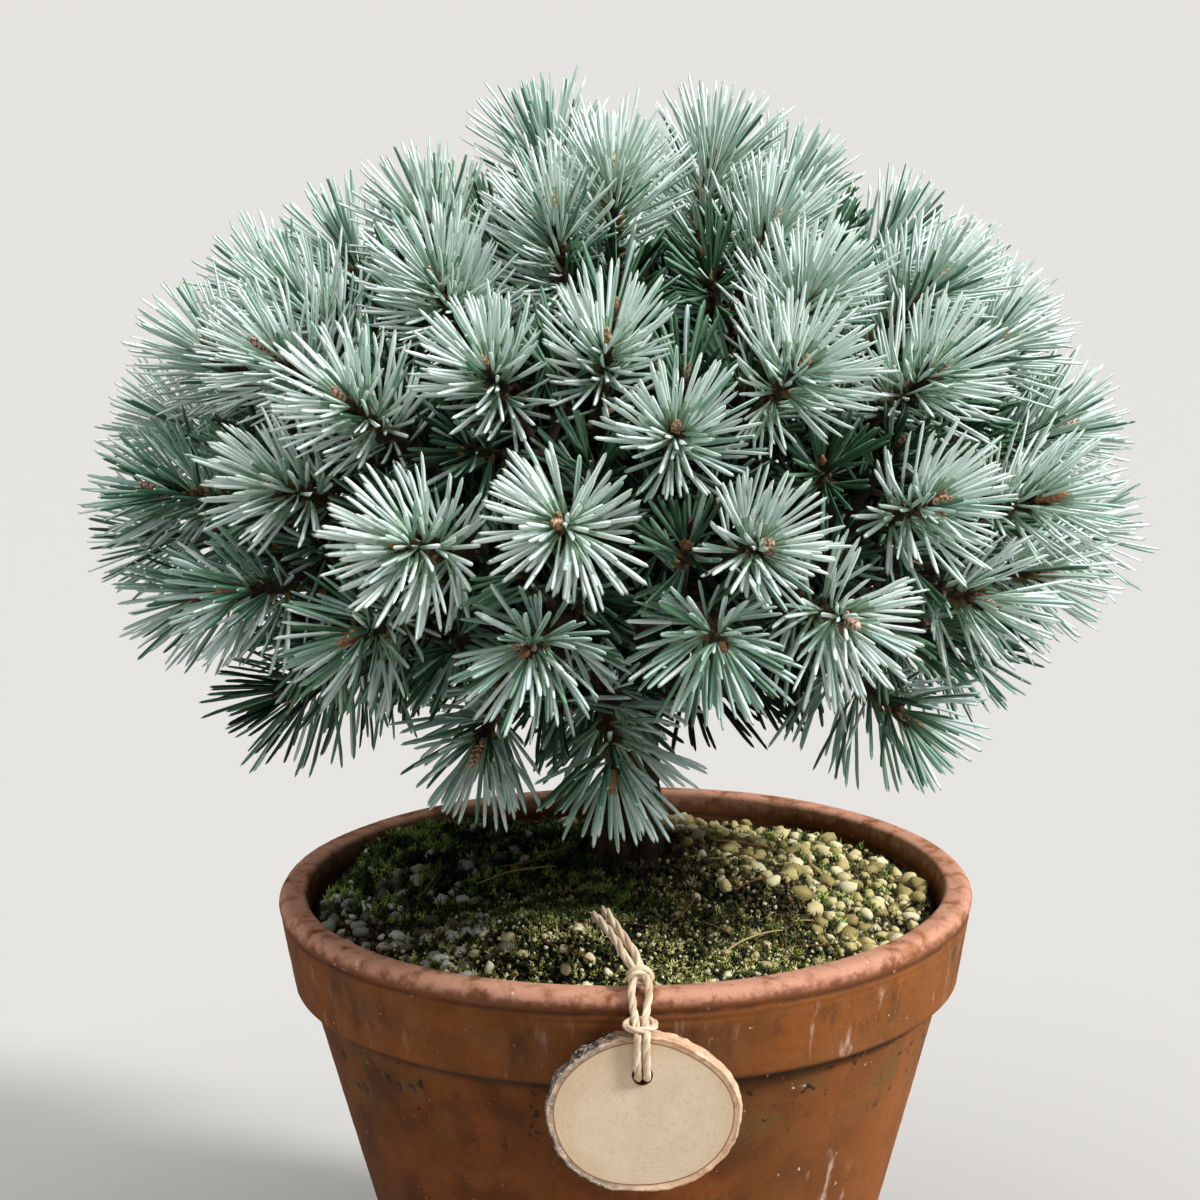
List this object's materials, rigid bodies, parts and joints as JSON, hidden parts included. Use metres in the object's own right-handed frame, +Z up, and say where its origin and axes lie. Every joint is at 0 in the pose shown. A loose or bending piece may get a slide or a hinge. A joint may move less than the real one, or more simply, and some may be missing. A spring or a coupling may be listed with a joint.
{
  "type": "dwarf pine in a terracotta pot",
  "caption": "Small rounded pine with silvery blue-green needles on short boughs, growing from mossy, gritty soil in a tapered clay pot with a collar and a blank wooden tag",
  "frame": {"origin": "centre of the pot's flat underside, on the surface that the pot stands on", "axes": "+Z up along the pot's axis; -Y towards the front, where the tag hangs; +X to the right seen from the front"},
  "size_m": [0.2246, 0.2114, 0.2775],
  "materials": {
    "terracotta": "matte",
    "soil": "matte",
    "moss": "matte",
    "tag_wood": "satin",
    "twine": "matte",
    "bark": "matte",
    "needles": "satin"
  },
  "bodies": {
    "root": {"pot": "terracotta", "soil": "soil", "moss_left": "moss", "moss_front": "moss", "moss_right": "moss", "name_tag": "tag_wood", "twine_tie": "twine", "trunk": "bark", "bough_low_1": "bark", "bough_low_2": "bark", "bough_low_3": "bark", "bough_low_4": "bark", "bough_low_5": "bark", "bough_low_6": "bark", "bough_mid_1": "bark", "bough_mid_2": "bark", "bough_mid_3": "bark", "bough_mid_4": "bark", "bough_mid_5": "bark", "bough_mid_6": "bark", "bough_mid_7": "bark", "bough_mid_8": "bark", "bough_top_1": "bark", "bough_top_2": "bark", "bough_top_3": "bark", "bough_top_4": "bark", "bough_top_5": "bark", "foliage_low_1": "needles", "foliage_low_2": "needles", "foliage_low_3": "needles", "foliage_low_4": "needles", "foliage_low_5": "needles", "foliage_low_6": "needles", "foliage_mid_1": "needles", "foliage_mid_2": "needles", "foliage_mid_3": "needles", "foliage_mid_4": "needles", "foliage_mid_5": "needles", "foliage_mid_6": "needles", "foliage_mid_7": "needles", "foliage_mid_8": "needles", "foliage_top_1": "needles", "foliage_top_2": "needles", "foliage_top_3": "needles", "foliage_top_4": "needles", "foliage_top_5": "needles", "foliage_leader": "needles"}
  },
  "joints": []
}
